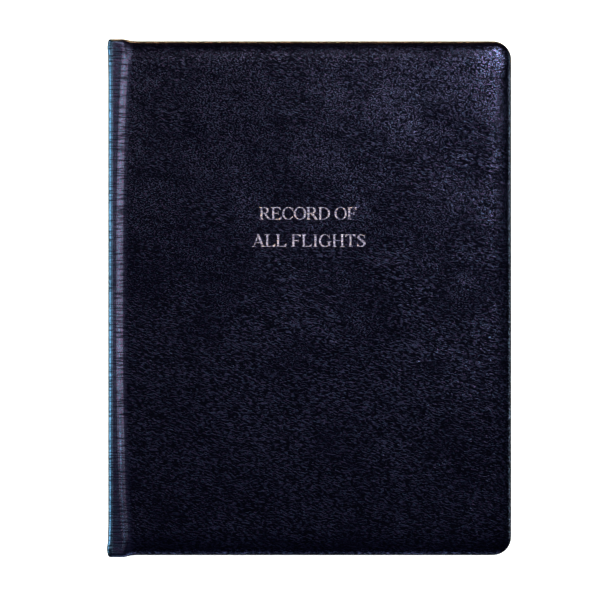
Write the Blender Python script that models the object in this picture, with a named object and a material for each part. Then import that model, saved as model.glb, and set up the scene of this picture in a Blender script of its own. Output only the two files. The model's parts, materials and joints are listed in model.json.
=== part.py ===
"""A padded leather logbook, closed and lying on its back cover.

+Z runs from the back cover to the front cover, +Y towards the head of the pages, and the spine is on the -X
side. The origin is the middle of the underside. The book opens at its middle: each cover carries half of the text
block, and both covers hinge on the spine along the two grooves. The middle section is made as single leaves.
"""

import math

import bmesh
import bpy
from mathutils import Matrix, Vector

MM = 0.001

# Case: everything the leather wraps
CASE_HEIGHT = 254 * MM  # head to tail of the boards
CASE_WIDTH = 199.5 * MM  # outside of the spine to the fore edge
SPINE_HEIGHT = 256 * MM  # the spine's turned ends stand a little past the boards

# Sheet thicknesses
LEATHER = 0.9 * MM
PADDING = 2.1 * MM
BOARD = 2.4 * MM
TURN_IN = 0.4 * MM  # leather pared thin where it folds over the board
PASTEDOWN = 0.2 * MM
LEAF = 0.15 * MM
SECTION = 0.9 * MM  # eight leaves pressed together
GAP = 0.1 * MM  # clearance between pieces that rest on each other

# Text block
SECTIONS_PER_HALF = 5
LEAVES_PER_HALF = 4  # half of the middle section
PAGE_HEIGHT = 246 * MM
FORE_SQUARE = 4.4 * MM  # how far the boards stand past the pages at the fore edge
FOLD_X = 3.6 * MM  # folds of the sections, measured from the outside of the spine
INNER_FOLD_X = 4.2 * MM  # the innermost pair of leaves folds round the thread
FOLD_ROUND = 0.4 * MM  # radius of a pressed section's back

# Depth of each layer of a cover, measured from its outside face
PADDING_TOP = LEATHER + 0.3 * MM
BOARD_TOP = 3.5 * MM
BOARD_BASE = BOARD_TOP + BOARD
TURN_IN_TOP = BOARD_BASE + GAP
TURN_IN_BASE = TURN_IN_TOP + TURN_IN
PASTEDOWN_TOP = TURN_IN_BASE + GAP
COVER = PASTEDOWN_TOP + PASTEDOWN
FLYLEAF_TOP = COVER + GAP
SECTIONS_TOP = FLYLEAF_TOP + LEAF + GAP
LEAVES_TOP = SECTIONS_TOP + SECTIONS_PER_HALF * (SECTION + GAP)
THICKNESS = 2 * (LEAVES_TOP + LEAVES_PER_HALF * (LEAF + GAP)) - GAP

# Cover shape
COVER_X = 3.5 * MM  # the cover leather starts here, at the groove
FORE_CORNER = 9 * MM
SPINE_CORNER = 0.8 * MM
CROWN, SLOPE = 3.0 * MM, 11 * MM  # drop and width of the padded slope on the free edges
GROOVE_CROWN, GROOVE_SLOPE = 2.2 * MM, 4 * MM  # the same along the groove
SHELL_CROWN, SHELL_GROOVE_CROWN = 2.2 * MM, 1.4 * MM  # drops of the leather's inside face
PADDING_CROWN, PADDING_GROOVE_CROWN = 1.9 * MM, 1.1 * MM
SLOPE_STEPS = 7
TURN_IN_WIDTH = 15 * MM
MULL_FLAP_WIDTH = 27 * MM
PASTEDOWN_SQUARE = 3.5 * MM  # how far the boards stand past the pasted-down endpaper
SHEET_EDGE_GAP = 0.5 * MM  # clearance round the edges of the infill card and the pastedown

# Grooves: the hinge axes lie as deep as they are far in, so that the open spine lies level with the covers
HINGE_X = 2.9 * MM
HINGE_DEPTH = 2.9 * MM
HINGE_CLEARANCE = 0.6 * MM

# Spine layers, measured from the outside of the spine
SPINE_WALL = 0.8 * MM  # leather of the spine's two shoulders
SHOULDER_ROUND = 1.8 * MM
INLAY_X, INLAY = 1.0 * MM, 0.6 * MM
SPINE_TURN_IN_X, SPINE_TURN_IN = 1.7 * MM, 0.3 * MM
LINING_X, LINING = 2.1 * MM, 0.2 * MM
MULL_X, MULL, MULL_HEIGHT = 2.4 * MM, 0.2 * MM, 220 * MM
TAPE_X, TAPE, TAPE_WIDTH, TAPE_PITCH = 3.05 * MM, 0.25 * MM, 12 * MM, 70 * MM
KETTLE_Y, KETTLE_X, KETTLE_SWAY = 116 * MM, 3.2 * MM, 0.5 * MM
THREAD_RADIUS = 0.15 * MM
THREAD_OUTSIDE_X, THREAD_INSIDE_X = 2.8 * MM, 3.85 * MM
BAND_RADIUS, BAND_X = 0.75 * MM, 3.45 * MM

FRONT, BACK = "front", "back"
LEATHER_NAVY = ("navy_leather", (0.010, 0.012, 0.030), 0.45)
FOAM_GREY = ("padding_foam", (0.42, 0.42, 0.43), 0.95)
BOARD_GREY = ("greyboard", (0.30, 0.29, 0.27), 0.90)
CARD_BUFF = ("buff_card", (0.52, 0.44, 0.32), 0.85)
ENDPAPER = ("endpaper", (0.045, 0.060, 0.110), 0.80)
PAGE_CREAM = ("page_paper", (0.86, 0.82, 0.72), 0.85)
LINEN = ("linen", (0.62, 0.57, 0.46), 0.95)
BAND_SILK = ("band_silk", (0.70, 0.68, 0.62), 0.55)


def shifted(x):
    """An x measured from the outside of the spine, as a world x."""
    return x - CASE_WIDTH / 2


def level(depth, side):
    """A depth below a cover's outside face, as a world z."""
    return THICKNESS - depth if side == FRONT else depth


def clear_scene():
    for obj in list(bpy.data.objects):
        bpy.data.objects.remove(obj)


def new_collection(name):
    found = bpy.data.collections.new(name)
    bpy.context.scene.collection.children.link(found)
    return found


def surface(kind):
    """The Principled material of a (name, colour, roughness) triple, made once."""
    name, colour, roughness = kind
    found = bpy.data.materials.get(name)
    if found is None:
        found = bpy.data.materials.new(name)
        found.use_nodes = True
        shader = found.node_tree.nodes["Principled BSDF"]
        shader.inputs["Base Color"].default_value = (*colour, 1)
        shader.inputs["Roughness"].default_value = roughness
        shader.inputs["Metallic"].default_value = 0
    return found


def body(name, x, z, parent=None):
    """An empty on a moving body's hinge axis. Its pieces are parented to it."""
    empty = bpy.data.objects.new(name, None)
    book.objects.link(empty)
    pivot = Vector((shifted(x), 0, z))
    empty["pivot"] = pivot
    empty.parent = parent
    empty.location = pivot - Vector(parent["pivot"]) if parent else pivot
    return empty


def piece(name, mesh, kind, owner):
    """Makes a node from a mesh in world coordinates, with its origin on its body's hinge axis."""
    mesh.name = name
    mesh.transform(Matrix.Translation(-Vector(owner["pivot"])))
    mesh.materials.append(surface(kind))
    obj = bpy.data.objects.new(name, mesh)
    obj.parent = owner
    book.objects.link(obj)
    return obj


def finished(bm):
    """A mesh from a bmesh, with its faces turned outwards."""
    bmesh.ops.recalc_face_normals(bm, faces=bm.faces)
    mesh = bpy.data.meshes.new("shape")
    bm.to_mesh(mesh)
    bm.free()
    return mesh


def block(x0, x1, y0, y1, z0, z1):
    """A box between two corners; x is measured from the outside of the spine."""
    low = Vector((shifted(x0), y0, min(z0, z1)))
    high = Vector((shifted(x1), y1, max(z0, z1)))
    place = Matrix.Translation((low + high) / 2) @ Matrix.Diagonal((*(high - low), 1))
    bm = bmesh.new()
    bmesh.ops.create_cube(bm, size=1, matrix=place)
    return finished(bm)


def rounded(low, high, near_round, far_round, steps=6):
    """Corners of a rectangle from low to high, rounded at its near (low first axis) and far sides."""
    (a0, b0), (a1, b1) = low, high
    corners = (
        (a0 + near_round, b0 + near_round, near_round, 180),
        (a1 - far_round, b0 + far_round, far_round, 270),
        (a1 - far_round, b1 - far_round, far_round, 0),
        (a0 + near_round, b1 - near_round, near_round, 90),
    )
    points = []
    for a, b, radius, start in corners:
        count = steps if radius > 0 else 0
        for i in range(count + 1):
            angle = math.radians(start + 90 * i / max(count, 1))
            points.append((a + radius * math.cos(angle), b + radius * math.sin(angle)))
    return points


def loft(rings):
    """A closed solid through rings with the same number of points, capped at both ends."""
    bm = bmesh.new()
    made = [[bm.verts.new(point) for point in ring] for ring in rings]
    count = len(rings[0])
    for lower, upper in zip(made, made[1:]):
        for i in range(count):
            j = (i + 1) % count
            bm.faces.new((lower[i], lower[j], upper[j], upper[i]))
    bm.faces.new(made[0])
    bm.faces.new(made[-1])
    return finished(bm)


def ellipse_inset(depth, crown, slope):
    """How far in a padded slope has come at a depth below the outside face."""
    rise = max(0.0, 1 - depth / crown)
    return slope * (1 - math.sqrt(1 - rise * rise))


def cover_ring(depth, side, skin, groove_crown, crown):
    """A cover's outline at a depth; skin is how far inside the leather's outside face it runs."""
    inset = skin + ellipse_inset(depth - skin, crown, SLOPE - skin)
    groove_inset = skin + ellipse_inset(depth - skin, groove_crown, GROOVE_SLOPE - skin)
    corner = max(FORE_CORNER - inset, 3 * MM)
    half = CASE_HEIGHT / 2 - inset
    low = (shifted(COVER_X + groove_inset), -half)
    high = (shifted(CASE_WIDTH - inset), half)
    return [(x, y, level(depth, side)) for x, y in rounded(low, high, SPINE_CORNER, corner)]


def pillow(side, skin, base, crown, groove_crown):
    """A padded solid: flat on its base, with rounded slopes up to a flat crown skin deep."""
    angles = [math.pi / 2 * i / SLOPE_STEPS for i in range(SLOPE_STEPS + 1)]
    depths = [base] + [skin + crown * (1 - math.sin(angle)) for angle in angles]
    return loft([cover_ring(depth, side, skin, groove_crown, crown) for depth in depths])


def cutter(name, mesh):
    obj = bpy.data.objects.new(name, mesh)
    obj.hide_render = True
    obj.display_type = "WIRE"
    cutters.objects.link(obj)
    return obj


def cut(obj, name, mesh):
    modifier = obj.modifiers.new(name, "BOOLEAN")
    modifier.operation = "DIFFERENCE"
    modifier.object = cutter(f"{obj.name}_{name}", mesh)


def shade(obj):
    obj.data.shade_smooth()
    obj.data.set_sharp_from_angle(angle=math.radians(30))


def plate(x0, x1, half, top, thickness, side, corner=0.0, near=0.0):
    """A flat sheet of a cover or of the text block; corner rounds its fore edge, near its groove edge."""
    ring = rounded((shifted(x0), -half), (shifted(x1), half), near, corner)
    return loft([[(x, y, level(depth, side)) for x, y in ring] for depth in (top, top + thickness)])


def make_cover(side, owner):
    """One cover: leather shell, padding, board, mull flap, infill card and pastedown."""
    shell = pillow(side, 0, TURN_IN_BASE, CROWN, GROOVE_CROWN)
    leather = piece(f"{side}_leather", shell, LEATHER_NAVY, owner)
    cut(leather, "hollow", pillow(side, LEATHER, TURN_IN_TOP, SHELL_CROWN, SHELL_GROOVE_CROWN))
    half_window = CASE_HEIGHT / 2 - TURN_IN_WIDTH
    window = block(
        COVER_X + LEATHER,
        CASE_WIDTH - TURN_IN_WIDTH,
        -half_window,
        half_window,
        level(BOARD_BASE - GAP, side),
        level(COVER, side),
    )
    cut(leather, "window", window)
    shade(leather)
    padding_base = PADDING_TOP + PADDING
    padding = pillow(side, PADDING_TOP, padding_base, PADDING_CROWN, PADDING_GROOVE_CROWN)
    shade(piece(f"{side}_padding", padding, FOAM_GREY, owner))

    inside = LEATHER + GAP
    half_board = CASE_HEIGHT / 2 - inside
    fore, corner = CASE_WIDTH - inside, FORE_CORNER - inside
    board = plate(COVER_X + inside, fore, half_board, BOARD_TOP, BOARD, side, corner, SPINE_CORNER)
    piece(f"{side}_board", board, BOARD_GREY, owner)
    flap_end = COVER_X + inside + MULL_FLAP_WIDTH
    flap = plate(COVER_X + inside, flap_end, MULL_HEIGHT / 2, TURN_IN_TOP + GAP, MULL, side)
    piece(f"{side}_mull_flap", flap, LINEN, owner)
    half_infill = half_window - SHEET_EDGE_GAP
    infill_end = CASE_WIDTH - TURN_IN_WIDTH - SHEET_EDGE_GAP
    infill = plate(flap_end + SHEET_EDGE_GAP, infill_end, half_infill, TURN_IN_TOP, TURN_IN, side)
    piece(f"{side}_infill_card", infill, CARD_BUFF, owner)
    pastedown = plate(
        COVER_X + SHEET_EDGE_GAP,
        CASE_WIDTH - PASTEDOWN_SQUARE,
        CASE_HEIGHT / 2 - PASTEDOWN_SQUARE,
        PASTEDOWN_TOP,
        PASTEDOWN,
        side,
        FORE_CORNER - PASTEDOWN_SQUARE,
    )
    piece(f"{side}_pastedown", pastedown, ENDPAPER, owner)


def make_half_block(side, owner, numbers):
    """The flyleaf and the folded sections that ride with one cover."""
    half = PAGE_HEIGHT / 2
    fore = CASE_WIDTH - FORE_SQUARE
    flyleaf = plate(FOLD_X + GAP, fore, half, FLYLEAF_TOP, LEAF, side)
    piece(f"{side}_flyleaf", flyleaf, ENDPAPER, owner)
    for i, number in enumerate(numbers):
        top = SECTIONS_TOP + i * (SECTION + GAP)
        low, high = sorted((level(top, side), level(top + SECTION, side)))
        profile = rounded((shifted(FOLD_X), low), (shifted(fore), high), FOLD_ROUND, 0, steps=4)
        mesh = loft([[(x, y, z) for x, z in profile] for y in (-half, half)])
        piece(f"section_{number:02d}", mesh, PAGE_CREAM, owner)


def make_leaves(side, spine, numbers):
    """Half of the middle section as single leaves, each on its own hinge along its fold."""
    for i, number in enumerate(numbers):
        innermost = i == LEAVES_PER_HALF - 1
        fold = INNER_FOLD_X if innermost else FOLD_X
        top = LEAVES_TOP + i * (LEAF + GAP)
        hinge = body(f"leaf_{number}_hinge", fold, level(top + LEAF / 2, side), spine)
        sheet = plate(fold, CASE_WIDTH - FORE_SQUARE, PAGE_HEIGHT / 2, top, LEAF, side)
        piece(f"centre_leaf_{number}", sheet, PAGE_CREAM, hinge)


def make_spine_leather(spine):
    """The spine leather: a channel with two shoulders, its ends turned in over the inlay."""
    shoulder = HINGE_DEPTH - SPINE_WALL / 2
    near, far = shoulder, THICKNESS - shoulder
    width = HINGE_X - HINGE_CLEARANCE
    half = SPINE_HEIGHT / 2
    profile = rounded((shifted(0), near), (shifted(width), far), SHOULDER_ROUND, 0)
    mesh = loft([[(x, y, z) for x, z in profile] for y in (-half, half)])
    leather = piece("spine_leather", mesh, LEATHER_NAVY, spine)
    low, high = near + SPINE_WALL, far - SPINE_WALL
    past = 1 * MM
    turned = half - TURN_IN_WIDTH
    pocket_end = half - LEATHER
    behind_turn_in = SPINE_TURN_IN_X + SPINE_TURN_IN
    cut(leather, "channel", block(LEATHER, width + past, -turned, turned, low, high))
    cut(leather, "pocket", block(LEATHER, SPINE_TURN_IN_X, -pocket_end, pocket_end, low, high))
    cut(leather, "relief", block(behind_turn_in, width + past, -half - past, half + past, low, high))
    shade(leather)


def make_spine_layers(spine):
    """Inlay, paper lining, mull and the three sewing tapes behind the folds."""
    inlay_edge = HINGE_DEPTH + SPINE_WALL / 2 + GAP
    inlay_half = SPINE_HEIGHT / 2 - LEATHER - 0.5 * MM
    inlay = block(INLAY_X, INLAY_X + INLAY, -inlay_half, inlay_half, inlay_edge, THICKNESS - inlay_edge)
    piece("spine_inlay", inlay, CARD_BUFF, spine)
    low, high = COVER + GAP, THICKNESS - COVER - GAP
    lining_half = PAGE_HEIGHT / 2 - 1 * MM
    lining = block(LINING_X, LINING_X + LINING, -lining_half, lining_half, low, high)
    piece("spine_lining", lining, CARD_BUFF, spine)
    mull = block(MULL_X, MULL_X + MULL, -MULL_HEIGHT / 2, MULL_HEIGHT / 2, low, high)
    piece("mull", mull, LINEN, spine)
    for name, y in (("tail", -TAPE_PITCH), ("middle", 0), ("head", TAPE_PITCH)):
        tape = block(TAPE_X, TAPE_X + TAPE, y - TAPE_WIDTH / 2, y + TAPE_WIDTH / 2, low, high)
        piece(f"sewing_tape_{name}", tape, LINEN, spine)


def cord(name, points, radius, owner, kind):
    """A round thread through points, made a mesh so that its end caps are welded."""
    curve = bpy.data.curves.new(name, "CURVE")
    curve.dimensions = "3D"
    curve.bevel_depth = radius
    curve.bevel_resolution = 2
    curve.use_fill_caps = True
    spline = curve.splines.new("POLY")
    spline.points.add(len(points) - 1)
    for target, (x, y, z) in zip(spline.points, points):
        target.co = (shifted(x), y, z, 1)
    guide = bpy.data.objects.new(name + "_guide", curve)
    book.objects.link(guide)
    bpy.context.view_layer.update()
    mesh = bpy.data.meshes.new_from_object(guide.evaluated_get(bpy.context.evaluated_depsgraph_get()))
    bpy.data.objects.remove(guide)
    bm = bmesh.new()
    bm.from_mesh(mesh)
    bmesh.ops.remove_doubles(bm, verts=bm.verts, dist=0.001 * MM)
    mesh = finished(bm)
    mesh.shade_smooth()
    return piece(name, mesh, kind, owner)


def make_sewing(spine):
    """The thread of the middle section, in and out round the tapes, and the two chains of kettle stitches."""
    middle = THICKNESS / 2
    points = [(THREAD_OUTSIDE_X, KETTLE_Y, middle), (THREAD_INSIDE_X, KETTLE_Y - 1 * MM, middle)]
    for y in (TAPE_PITCH, 0, -TAPE_PITCH):
        for side in (1, -1):
            inside = (THREAD_INSIDE_X, y + side * (TAPE_WIDTH / 2 + 1.5 * MM), middle)
            outside = (THREAD_OUTSIDE_X, y + side * (TAPE_WIDTH / 2 + 0.5 * MM), middle)
            points += [inside, outside] if side == 1 else [outside, inside]
    points += [(THREAD_INSIDE_X, 1 * MM - KETTLE_Y, middle), (THREAD_OUTSIDE_X, -KETTLE_Y, middle)]
    cord("sewing_thread", points, THREAD_RADIUS, spine, LINEN)
    stitches = 2 * SECTIONS_PER_HALF + 1
    pitch = (THICKNESS - 2 * SECTIONS_TOP) / stitches
    for name, y in (("head", KETTLE_Y), ("tail", -KETTLE_Y)):
        chain = []
        for i in range(stitches + 1):
            sway = KETTLE_SWAY * (-1) ** i
            chain.append((KETTLE_X, y + sway, SECTIONS_TOP + i * pitch))
        cord(f"kettle_stitch_{name}", chain, THREAD_RADIUS, spine, LINEN)


def make_band(name, end, spine):
    """A rolled silk band at the head or tail of the folds."""
    y = end * (PAGE_HEIGHT / 2 + GAP + BAND_RADIUS)
    edge = COVER + 0.5 * MM
    cord(name, [(BAND_X, y, edge), (BAND_X, y, THICKNESS - edge)], BAND_RADIUS, spine, BAND_SILK)


clear_scene()
book = new_collection("logbook")
cutters = new_collection("cutters")
cutters.hide_render = True

back_cover = body("back_cover_base", CASE_WIDTH / 2, 0)
spine_hinge = body("rear_groove", HINGE_X, HINGE_DEPTH, back_cover)
front_cover = body("front_groove", HINGE_X, THICKNESS - HINGE_DEPTH, spine_hinge)

make_cover(BACK, back_cover)
make_cover(FRONT, front_cover)
make_half_block(FRONT, front_cover, range(1, 6))
make_half_block(BACK, back_cover, range(11, 6, -1))
make_leaves(FRONT, spine_hinge, range(1, 5))
make_leaves(BACK, spine_hinge, range(8, 4, -1))
make_spine_leather(spine_hinge)
make_spine_layers(spine_hinge)
make_sewing(spine_hinge)
make_band("headband", 1, spine_hinge)
make_band("tailband", -1, spine_hinge)
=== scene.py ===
"""The looks of a padded leather logbook: grained leather, foil title, gilt and ruled pages, endpapers and sewing."""

import json
import math

import bmesh
import bpy
import numpy as np
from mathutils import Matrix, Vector

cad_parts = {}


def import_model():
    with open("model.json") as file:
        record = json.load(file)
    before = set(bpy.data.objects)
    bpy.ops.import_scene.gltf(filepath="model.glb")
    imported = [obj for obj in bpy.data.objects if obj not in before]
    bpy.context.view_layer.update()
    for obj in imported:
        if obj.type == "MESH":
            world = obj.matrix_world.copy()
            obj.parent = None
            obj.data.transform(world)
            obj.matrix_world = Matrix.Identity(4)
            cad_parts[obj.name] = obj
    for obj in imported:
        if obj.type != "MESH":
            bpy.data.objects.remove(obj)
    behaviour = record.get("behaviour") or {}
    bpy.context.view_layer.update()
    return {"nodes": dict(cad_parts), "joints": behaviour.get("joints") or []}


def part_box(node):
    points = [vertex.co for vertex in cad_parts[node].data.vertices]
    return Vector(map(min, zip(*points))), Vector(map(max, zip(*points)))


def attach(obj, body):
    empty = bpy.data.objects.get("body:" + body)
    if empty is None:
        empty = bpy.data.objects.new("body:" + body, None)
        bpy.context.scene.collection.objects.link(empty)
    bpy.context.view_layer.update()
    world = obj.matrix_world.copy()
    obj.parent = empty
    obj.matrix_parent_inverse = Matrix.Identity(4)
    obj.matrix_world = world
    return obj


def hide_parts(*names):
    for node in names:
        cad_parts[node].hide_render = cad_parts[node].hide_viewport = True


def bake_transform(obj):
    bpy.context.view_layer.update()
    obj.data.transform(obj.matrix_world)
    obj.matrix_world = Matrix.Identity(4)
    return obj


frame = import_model()

MM = 0.001

# ---------------------------------------------------------------- the frame's measures, in mm from the spine's outside
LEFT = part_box("spine_leather")[0].x / MM
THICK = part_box("front_leather")[1].z / MM
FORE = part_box("front_leather")[1].x / MM - LEFT
EDGE_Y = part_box("front_leather")[1].y / MM
SPINE_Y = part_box("spine_leather")[1].y / MM
INSIDE_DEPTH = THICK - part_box("front_leather")[0].z / MM
MIDDLE = THICK / 2
HINGE = next(j["pos_m"] for j in frame["joints"] if j["name"] == "front_joint")
HINGE_X, HINGE_Z = HINGE[0] / MM - LEFT, HINGE[2] / MM
FOLD_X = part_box("section_05")[0].x / MM - LEFT
PAGE_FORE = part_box("section_05")[1].x / MM - LEFT
PAGE_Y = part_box("section_05")[1].y / MM
SIDES = ("front", "back")


def world(points, side="front"):
    """Book points (x from the spine's outside, y, z) in mm as world metres; the back side is the front's mirror image."""
    out = np.array(points, float)
    out[..., 0] += LEFT
    if side == "back":
        out[..., 2] = THICK - out[..., 2]
    return out * MM


def smooth(low, high, value):
    t = np.clip((np.asarray(value, float) - low) / (high - low), 0, 1)
    return t * t * (3 - 2 * t)


def mix(a, b, t):
    return a + (b - a) * t


def spaced(start, stop, step):
    count = max(1, int(round((stop - start) / step)))
    return np.linspace(start, stop, count + 1)


def rounded_corner(x, y, far_x, far_y, radius):
    """Moves the points of a rectangular grid so that its two corners at far_x are rounded."""
    u, w = x - (far_x - radius), np.abs(y) - (far_y - radius)
    corner = (u > 0) & (w > 0)
    bent_u = u * np.sqrt(np.maximum(1 - (w / radius) ** 2 / 2, 0))
    bent_w = w * np.sqrt(np.maximum(1 - (u / radius) ** 2 / 2, 0))
    x = np.where(corner, far_x - radius + bent_u, x)
    return x, np.where(corner, np.sign(y) * (far_y - radius + bent_w), y)


def edge_spacing(width, slope, near_step, step):
    """Distances from 0 to width that start fine, for a surface that drops over the first slope mm."""
    angles = np.linspace(0, math.pi / 2, near_step + 1)
    near = slope * (1 - np.cos(angles))
    return np.concatenate([near, spaced(slope, width, step)[1:]])


GRAIN_DRIFT = 2.6  # how far the grain wanders off its straight rows, mm
GRAIN_ANGLE = 14  # degrees: the long creases run down towards the fore edge
GRAIN_DEPTH = 0.024 * MM
GRAIN_SCALE = 2.3  # pebbles for each mm, nearly


# ---------------------------------------------------------------- shader helpers
class Nodes:
    """A short way to write a material's node tree."""

    def __init__(self, name):
        self.material = bpy.data.materials.new(name)
        self.material.use_nodes = True
        self.tree = self.material.node_tree
        self.shader = self.tree.nodes["Principled BSDF"]

    def put(self, target, value):
        if isinstance(value, bpy.types.NodeSocket):
            self.tree.links.new(value, target)
        elif isinstance(value, tuple) and len(value) == 3 and target.type == "RGBA":
            target.default_value = (*value, 1)
        else:
            target.default_value = value

    def node(self, kind, *inputs, out=0, settings=None, **named):
        made = self.tree.nodes.new(kind)
        for key, value in (settings or {}).items():
            setattr(made, key, value)
        for socket, value in zip(made.inputs, inputs):
            if value is not None:
                self.put(socket, value)
        for key, value in named.items():
            self.put(made.inputs[key.replace("_", " ")], value)
        return made.outputs[out]

    def attribute(self, name):
        return self.node("ShaderNodeAttribute", settings={"attribute_name": name}, out=1)

    def math(self, operation, a, b=0.0, c=0.0):
        return self.node("ShaderNodeMath", a, b, c, settings={"operation": operation})

    def vector(self, operation, a, b):
        return self.node("ShaderNodeVectorMath", a, b, settings={"operation": operation})

    def stretch(self, vector, scale, offset=(0, 0, 0)):
        return self.node("ShaderNodeMapping", vector, offset, (0, 0, 0), scale)

    def noise(self, vector, scale, detail=2.0, roughness=0.5, out=0):
        return self.node(
            "ShaderNodeTexNoise", Vector=vector, Scale=scale, Detail=detail, Roughness=roughness, out=out
        )

    def ramp(self, value, low, high, to_low=0.0, to_high=1.0):
        settings = {"interpolation_type": "SMOOTHSTEP"}
        return self.node("ShaderNodeMapRange", value, low, high, to_low, to_high, settings=settings)

    def blend(self, factor, a, b):
        made = self.tree.nodes.new("ShaderNodeMix")
        made.data_type = "RGBA"
        for index, value in ((0, factor), (6, a), (7, b)):
            self.put(made.inputs[index], value)
        return made.outputs[2]

    def mix_float(self, factor, a, b):
        made = self.tree.nodes.new("ShaderNodeMix")
        for index, value in ((0, factor), (2, a), (3, b)):
            self.put(made.inputs[index], value)
        return made.outputs[0]

    def separate(self, vector, axis):
        return self.node("ShaderNodeSeparateXYZ", vector, out="XYZ".index(axis))

    def bump(self, height, distance, strength=1.0, normal=None):
        made = self.tree.nodes.new("ShaderNodeBump")
        self.put(made.inputs["Strength"], strength)
        self.put(made.inputs["Distance"], distance)
        self.put(made.inputs["Height"], height)
        if normal is not None:
            self.put(made.inputs["Normal"], normal)
        return made.outputs[0]

    def finish(self, colour, roughness, normal=None, **more):
        self.put(self.shader.inputs["Base Color"], colour)
        self.put(self.shader.inputs["Roughness"], roughness)
        if normal is not None:
            self.put(self.shader.inputs["Normal"], normal)
        for key, value in more.items():
            self.put(self.shader.inputs[key.replace("_", " ")], value)
        return self.material


def grain_cells(n, coords, scale):
    """Rounded pebbles: 0 in the creases between them to 1 on top."""
    near = n.node(
        "ShaderNodeTexVoronoi",
        settings={"feature": "SMOOTH_F1", "voronoi_dimensions": "2D"},
        Vector=coords,
        Scale=scale,
        Smoothness=0.12,
    )
    return n.ramp(near, 0.72, 0.12)


def wrinkles(n, coords, length):
    """Pebbles and ridges drawn out along x: 0 in the creases to 1 on top."""
    cells = grain_cells(n, n.stretch(coords, (length, 1.0, 1.0)), GRAIN_SCALE)
    ridges = n.ramp(n.noise(n.stretch(coords, (0.8 * length, 1.0, 1.0)), GRAIN_SCALE, 1.0, 0.5), 0.43, 0.68)
    return n.math("ADD", n.math("MULTIPLY", cells, 0.25), n.math("MULTIPLY", ridges, 0.75))


def grain_height(n, coords, ribbed=0.0):
    """Height of the leather's grain, 0 in the creases to 1 on top; ribbed leather has ridges across the spine.

    coords are mm along the skin.
    """
    drift = n.vector("SCALE", n.vector("SUBTRACT", n.noise(coords, 0.10, 3.0, out=1), (0.5, 0.5, 0.5)), None)
    drift.node.inputs["Scale"].default_value = GRAIN_DRIFT
    bent = n.vector("ADD", coords, drift)
    turned = n.node("ShaderNodeVectorRotate", Vector=bent, Angle=math.radians(GRAIN_ANGLE))
    low = n.ramp(n.separate(coords, "Y"), 70.0, -70.0)
    patch = n.ramp(n.math("ADD", n.noise(coords, 0.035, 2.0), n.math("MULTIPLY", low, 0.25)), 0.42, 0.72)
    pebble = n.mix_float(patch, wrinkles(n, turned, 0.60), wrinkles(n, turned, 0.26))
    waves = n.noise(n.stretch(turned, (0.16, 1.0, 1.0)), 0.22, 2.0, 0.6)
    fold = n.ramp(n.math("ABSOLUTE", n.math("SUBTRACT", waves, 0.5)), 0.0, 0.03)
    crease = n.math("MULTIPLY", n.math("SUBTRACT", 1.0, fold), 0.35)
    grained = n.math("MULTIPLY", pebble, n.math("SUBTRACT", 1.0, crease))
    ribs = n.ramp(n.noise(n.stretch(coords, (0.10, 1.0, 1.0)), 1.5, 1.0, 0.5), 0.34, 0.60, 0.45, 1.0)
    return n.mix_float(ribbed, grained, ribs)


def leather_material():
    n = Nodes("navy_leather")
    coords = n.attribute("skin")
    plain, ribbed = n.separate(n.attribute("plain"), "X"), n.separate(n.attribute("plain"), "Y")
    height = grain_height(n, coords, ribbed)
    depth = n.math("SUBTRACT", 1.0, n.math("MULTIPLY", plain, 0.25))
    pores = n.noise(coords, 3.0, 1.0, 0.5)
    relief = n.math("MULTIPLY", n.math("ADD", height, n.math("MULTIPLY", pores, 0.15)), depth)
    swell = n.noise(coords, 0.09, 3.0, 0.55)
    # Large cloudy patches of deeper blue and lower gloss: a painted dark reflection over the cover.
    dark_reflection_cloud = n.noise(coords, 0.016, 3.0, 0.6)
    tint = n.noise(coords, 1.0, 3.0, 0.75)
    hue = n.blend(n.ramp(tint, 0.38, 0.62), (0.0018, 0.0008, 0.0044), (0.0005, 0.0010, 0.0044))
    colour = n.blend(n.ramp(dark_reflection_cloud, 0.35, 0.65, 0.0, 0.5), hue, (0.0009, 0.0008, 0.0036))
    # Painted shade: the creases between the grain's pebbles are coloured near black.
    colour = n.blend(n.ramp(height, 0.10, 0.45), (0.0004, 0.0004, 0.0012), colour)
    normal = n.bump(swell, 0.5 * MM, 0.35)
    normal = n.bump(relief, GRAIN_DEPTH, 1.0, normal)
    gloss = n.math("MULTIPLY", n.ramp(height, 0.30, 1.0, 0.04, 1.10), n.ramp(dark_reflection_cloud, 0.30, 0.62, 0.50, 0.75))
    gloss = n.math("MULTIPLY", gloss, n.ramp(n.noise(coords, 2.0, 2.0, 0.6), 0.32, 0.68, 0.5, 1.4))
    sheen = n.blend(n.ramp(tint, 0.40, 0.60), (0.66, 0.44, 1.0), (0.36, 0.58, 1.0))
    # On the spine the reflections are tinted teal: a painted tint standing in for the teal light from the left.
    spine_painted_teal = n.ramp(n.separate(coords, "X"), 13.6, 12.4)
    sheen = n.blend(spine_painted_teal, sheen, (0.24, 0.52, 0.94))
    roughness = n.mix_float(plain, n.ramp(height, 0.1, 0.6, 0.32, 0.21), 0.21)
    return n.finish(colour, roughness, normal, Specular_IOR_Level=gloss, Specular_Tint=sheen, IOR=1.8)


def foil_material():
    """Silver foil pressed into the grain, worn through in the deepest creases."""
    n = Nodes("silver_foil")
    coords = n.attribute("skin")
    height = grain_height(n, coords)
    glint = n.noise(coords, 1.3, 3.0, 0.6)
    colour = n.blend(n.ramp(glint, 0.35, 0.65), (0.40, 0.37, 0.59), (0.65, 0.58, 0.66))
    colour = n.blend(n.ramp(height, 0.10, 0.55), (0.10, 0.09, 0.17), colour)
    normal = n.bump(height, 0.16 * MM, 1.0)
    normal = n.bump(glint, 0.08 * MM, 0.8, normal)
    return n.finish(colour, n.ramp(glint, 0.3, 0.7, 0.30, 0.50), normal, Metallic=0.8)


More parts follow.
